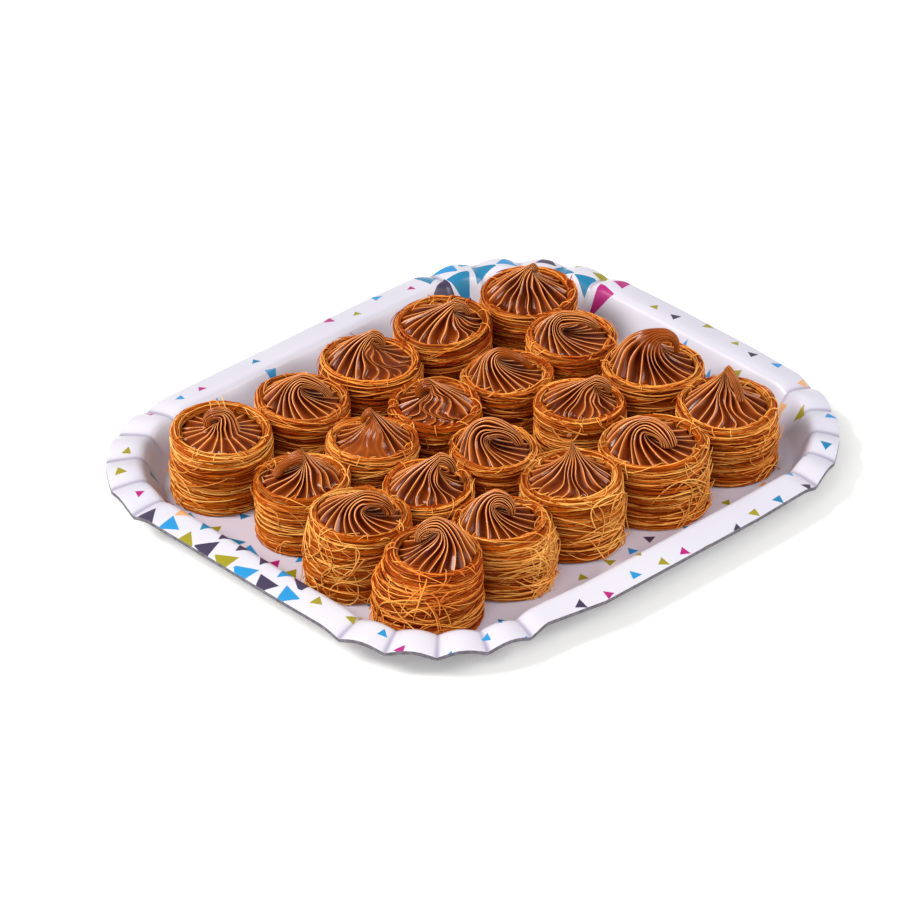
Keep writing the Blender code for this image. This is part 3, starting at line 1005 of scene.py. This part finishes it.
def hollowed(turn, hollow):
    """How far out and how high a climb stands: round at the foot, the more hollow above."""
    lift = 1 + FOOT_HOLLOW * (hollow - 1)
    draw_in = hollow + NECK_HOLLOW * (hollow - lift)
    return max(math.cos(turn), 0) ** draw_in, math.sin(turn) ** lift


def level_pair(width, height):
    """The back and the front of a level section."""
    return Vector((-width, height)), Vector((width, height))


def swirl_profile(swirl, radius, foot):
    """Points on the back and the front of a swirl, in pairs from the well's floor to its tip."""
    top, rise, reach = swirl.top * MM, swirl.rise * MM, swirl.reach * MM
    drop, lobe, tip = swirl.drop * MM, swirl.lobe * MM, swirl.tip * MM
    pairs = [level_pair(radius, -foot), level_pair(radius, 0)]
    neck, start = radius, 0
    if swirl.neck < 1:
        neck, start = radius * swirl.neck, NECK_RISE
        for share in (0.5, 0.85, 1):
            pairs.append(level_pair(radius + (neck - radius) * share, start * share))
    for step in range(1, CLIMB_STEPS + 1):
        turn = QUARTER_TURN * step / CLIMB_STEPS
        across, along = hollowed(turn, swirl.back)
        back_point = Vector((top - (neck + top) * across, start + (rise - start) * along))
        across, along = hollowed(turn, swirl.front)
        front_point = Vector((top + (neck - top) * across, start + (rise - lobe - start) * along))
        pairs.append((back_point, front_point))
    centre = Vector((top, rise - drop))
    for step in range(1, FOLD_STEPS + 1):
        turn = math.radians(swirl.hang) * step / FOLD_STEPS
        spoke = Vector((
            reach * raised(math.sin(turn), swirl.bend), drop * raised(math.cos(turn), swirl.bend),
        ))
        thick = lobe + (tip - lobe) * step / FOLD_STEPS
        pairs.append((centre + spoke, centre + spoke - spoke.normalized() * thick))
    last_back, last_front = pairs[-1]
    onward = (last_back - pairs[-2][0]).normalized() * (last_front - last_back).length * TIP_LENGTH
    for step in range(1, TIP_STEPS + 1):
        turn = QUARTER_TURN * step / TIP_STEPS
        middle = (last_back + last_front) / 2 + onward * math.sin(turn)
        half = (last_front - last_back) / 2 * max(math.cos(turn), TIP_END)
        pairs.append((middle - half, middle + half))
    return pairs


print("sections in a swirl:", 1 + CLIMB_STEPS + FOLD_STEPS + TIP_STEPS)

# %% [markdown]
# A crest is thin and a groove is wide, so each ridge gets ten points that crowd towards its
# crest, and the crest keeps its width where the swirl grows thin. No real ridge runs quite true:
# each one is cut to its own depth, slips to one side and sways on its way up. A point takes less
# of the sway the nearer it is to the next ridge, so that ridges never cross.
#
# Hands and nozzles also spoil some of it. `SMEARED` says how far a fold has been drawn smooth,
# and from what share of its length on. `MESSED` says on which side in degrees a cream came out
# ragged, how far it is smoothed there, and how widely its ridges wobble.

# %% Ridges
RIDGES = 20
RIDGE_FORM = (
    # place across the ridge, depth of the cut there, nearness to the crest, which is also its
    # painted light: the crest's painted highlight at 1, the grooves' painted shade low
    (-0.36, 0.92, 0.2), (-0.22, 0.68, 0.34), (-0.11, 0.32, 0.58), (-0.05, 0.07, 0.86), (0, 0, 1),
    (0.05, 0.07, 0.86), (0.11, 0.32, 0.58), (0.22, 0.68, 0.34), (0.36, 0.92, 0.2), (0.5, 1, 0.16),
)
SHOULDER = 0.11
CREST = 0.42 * MM
CREST_LEAST, CREST_MOST = 0.075, 0.26
SMEARED = {
    2: (0.3, 0.4), 3: (0.72, 0.38), 4: (0.4, 0.4), 7: (0.7, 0.38), 11: (0.6, 0.4),
    15: (0.65, 0.36), 17: (0.3, 0.4), 18: (0.7, 0.22),
}
MESSED = {
    3: (-60, 0.15, 0.09), 6: (-110, 0.1, 0.08), 7: (-150, 0.85, 0.1), 9: (-133, 0.15, 0.13),
    11: (-130, 0.35, 0.24), 12: (-85, 0.35, 0.26), 14: (-120, 0.2, 0.1), 16: (-90, 0.1, 0.08),
    17: (-110, 0.1, 0.1), 20: (-150, 0.1, 0.05),
}
FLARE, FLARE_RISE = 2.1 * MM, 3.2 * MM
SWAY, RIPPLE = 0.24, 0.11
# The painted light of smeared cream, and the grooves' painted shade: the value below which it
# deepens on the way up, and the least share of that value it keeps.
SMOOTH_TONE, PAINTED_SHADE_BELOW, DEEPEST_PAINTED_SHADE = 0.6, 0.4, 0.12


def ridge_ring(seed):
    """For each point round a section: its ridge, place on it, cut, painted light tone, and the
    ridge's sway.
    """
    hand = random.Random(seed)
    rows = []
    for ridge_number in range(RIDGES):
        slip = hand.uniform(-0.2, 0.2)
        deep = hand.uniform(0.55, 1.3)
        pace, phase = hand.uniform(0.7, 1.7), hand.uniform(0, 1)
        for aside, cut, tone in RIDGE_FORM:
            rows.append((ridge_number, aside, deep * cut, tone, slip, pace, phase))
    return np.array(rows).T


def crest_kept(aside, girth):
    """Places on the ridges, moved so that a crest stays as wide wherever the swirl is thin."""
    wide = min(max(CREST * RIDGES / girth, CREST_LEAST), CREST_MOST)
    far = np.abs(aside)
    beyond = wide + (far - SHOULDER) * (0.5 - wide) / (0.5 - SHOULDER)
    return np.sign(aside) * np.where(far < SHOULDER, far * wide / SHOULDER, beyond)


print("points round a section:", RIDGES * len(RIDGE_FORM))

# %% [markdown]
# The rings then follow from the tables, section by section, and so does each point's painted light
# and shade.


# %% Swirl mesh
def swirl_mesh(name, number, swirl, centre, radius, foot):
    """Ridged sections skinned from the well's floor to the tip."""
    lean = math.radians(swirl.lean)
    side = np.array((math.cos(lean), math.sin(lean), 0))
    hinge = np.array((-math.sin(lean), math.cos(lean), 0))
    upward = np.array((0, 0, 1.0))
    ridges, asides, cuts, crest, slip, pace, phase = ridge_ring(number)
    most, begin = SMEARED.get(number, (0.05, 0.4))
    beside, smooth, wobble = MESSED.get(number, (0, 0, 0))
    pairs = swirl_profile(swirl, radius, foot)
    last, size = len(pairs) - 1, len(asides)
    rings, crests = [], []
    for order, (back_point, front_point) in enumerate(pairs):
        share = max(order - 1, 0) / (last - 1)
        climb = min(max(order - 1, 0) / CLIMB_STEPS, 1)
        loose = min(share * 5, 1)
        middle = (back_point + front_point) / 2
        half = (front_point - back_point) / 2

        # Every point's angle: its ridge's place, slip and sway, then the whole rope's twist.
        aside = crest_kept(asides, FULL_TURN * half.length)
        sway = slip + SWAY * loose * np.sin(FULL_TURN * (share * pace + phase))
        turn = (ridges + aside + sway * (1 - 2 * np.abs(aside))) * FULL_TURN / RIDGES
        turn += math.radians(swirl.twist) * climb * climb * (3 - 2 * climb)
        turn += RIPPLE * loose * np.sin(3 * turn + 10 * share + number)

        # How plain the cream is at each point: 0 is cut to full depth and 1 has no ridges.
        smeared = most * min(max((share - begin) * 8, 0), 1)
        facing = np.cos(turn + lean - math.radians(beside))
        messed = np.clip((facing - 0.5) * 3, 0, 1) * min((1 - climb) * 3, climb * 6, 1)
        plain = 1 - (1 - smeared) * (1 - messed * smooth)
        turn += messed * wobble * np.sin(order * 0.6 + turn * 3)

        # How far out it reaches: in by the cut, out by the foot's flare and by the ragged side.
        depth = 0.18 + 0.06 * math.sin(math.pi * min(share * 1.15, 1))
        depth *= min(0.6 + order / 10, 1) if order else 0
        flare = FLARE * math.exp(-((middle.y - MM) / FLARE_RISE) ** 2) if order else 0
        reach = 1 - depth * cuts * (1 - plain) + flare / half.length
        reach += messed * smooth * 0.05 * np.sin(turn * 5 + order * 0.35)

        across = middle.x + half.x * reach * np.cos(turn)
        rise = middle.y + half.y * reach * np.cos(turn)
        along = half.length * reach * np.sin(turn)
        ring = np.outer(across, side) + np.outer(rise, upward) + np.outer(along, hinge)
        rings.append(ring + np.array(centre))
        # Painted shade: a groove grows darker on the way up, and smeared cream takes one flat
        # painted light value.
        tone = np.where(crest < PAINTED_SHADE_BELOW, crest * max(1.4 - climb * 3, DEEPEST_PAINTED_SHADE), crest)
        crests.append(tone + (SMOOTH_TONE - tone) * plain)
    mesh = smooth_mesh(name, *skin(rings), chocolate)
    write_values(mesh, "crest", np.concatenate(crests))
    write_values(mesh, "along", np.tile(np.arange(size) / size, len(pairs)))
    write_values(mesh, "round", np.repeat(np.arange(len(pairs)) / last, size))
    u = unwrapped(mesh, corner_values(mesh, "along"))
    write_map(mesh, u, corner_values(mesh, "round") * 0.96 + 0.02)
    return mesh


swirl_total = 0
for number, (nest, swirl, (centre, radius)) in enumerate(zip(NESTS, SWIRLS, places), start=1):
    well = (radius - WALL) * math.cos(math.pi / 16) - GAP
    edge = centre + Vector((0, 0, nest.height * MM - EDGE_DROP))
    name = f"cream_{number:02d}_swirl"
    mesh = swirl_mesh(name, number, swirl, edge, well, WELL - EDGE_DROP - GAP)
    dressed(name, mesh, f"cream_{number:02d}")
    swirl_total += triangle_count(mesh)
print("triangles in the swirls:", swirl_total)
